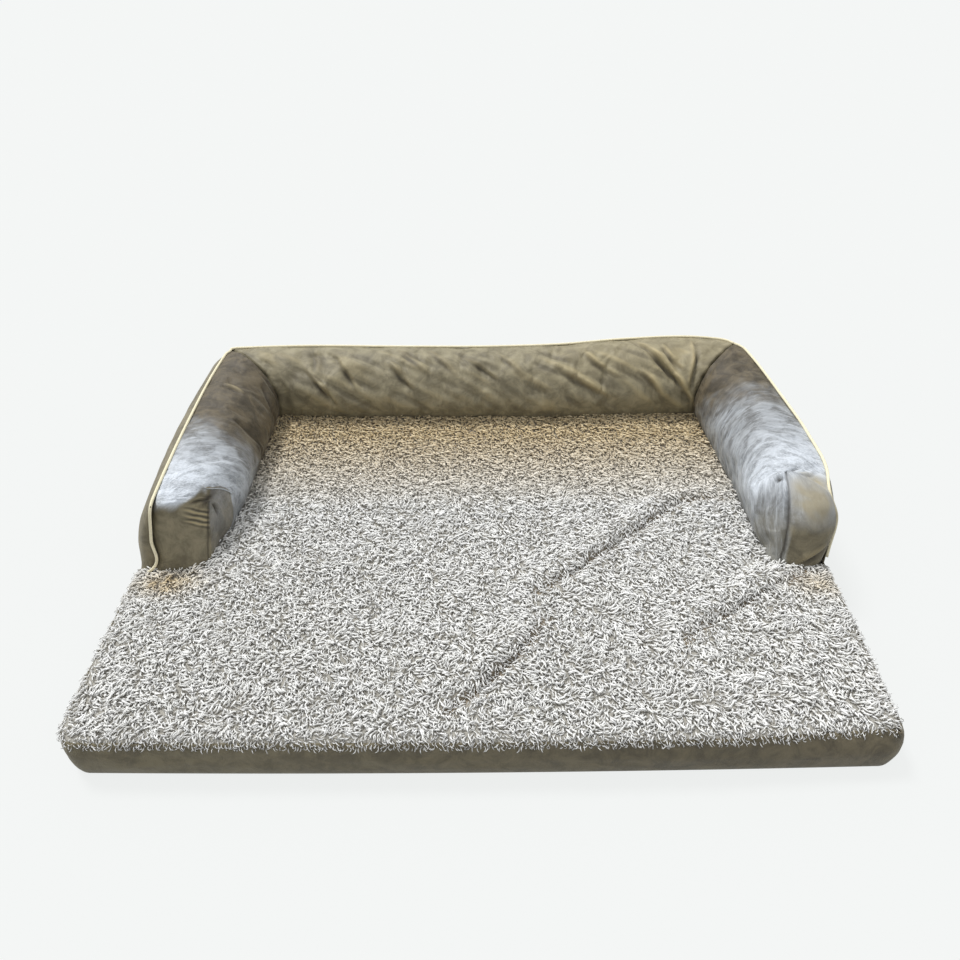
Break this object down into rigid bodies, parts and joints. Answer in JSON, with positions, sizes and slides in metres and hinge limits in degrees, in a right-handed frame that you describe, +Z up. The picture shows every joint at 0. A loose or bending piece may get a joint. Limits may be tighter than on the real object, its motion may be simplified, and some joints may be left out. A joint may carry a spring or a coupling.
{
  "type": "bolster pet bed",
  "caption": "Rectangular pet bed with a long-pile sleeping surface, velvet bolsters on the back and both sides, open front, and a zipped removable cover.",
  "frame": {"origin": "on the floor under the middle of the whole bed", "axes": "+X to the right seen from the open front, +Y towards the back bolster, +Z up"},
  "size_m": [1.0302, 0.7809, 0.1805],
  "materials": {
    "velvet": "matte",
    "long_pile": "matte",
    "piping_cord": "matte",
    "grip_cloth": "matte",
    "foam": "matte",
    "liner_film": "satin",
    "fibre_fill": "matte",
    "zip_tape": "matte",
    "zip_teeth": "satin",
    "zip_metal": "satin"
  },
  "bodies": {
    "bed": {"base_panel": "grip_cloth", "foam_slab": "foam", "liner": "liner_film", "front_band": "velvet", "wall_left": "velvet", "wall_back": "velvet", "wall_right": "velvet", "bolster_left": "velvet", "bolster_back": "velvet", "bolster_right": "velvet", "piping_left": "piping_cord", "piping_back": "piping_cord", "piping_right": "piping_cord", "core_left": "fibre_fill", "core_back": "fibre_fill", "core_right": "fibre_fill", "sleeping_top": "long_pile", "zip_tape_lower": "zip_tape", "zip_tape_upper": "zip_tape", "zip_teeth_lower": "zip_teeth", "zip_teeth_upper": "zip_teeth", "zip_stop_open": "zip_metal", "zip_stop_closed": "zip_metal"},
    "slider": {"zip_slider": "zip_metal"},
    "pull": {"zip_pull": "zip_metal"}
  },
  "joints": [
    {"name": "zip_slide", "type": "slide", "parent": "bed", "child": "slider", "axis": [-1, 0, 0], "range_m": [0, 0.846]},
    {"name": "pull_swing", "type": "hinge", "parent": "slider", "child": "pull", "pos_m": [0.423, 0.38858, 0.031], "axis": [1, 0, 0], "range_deg": [0, 150]}
  ]
}
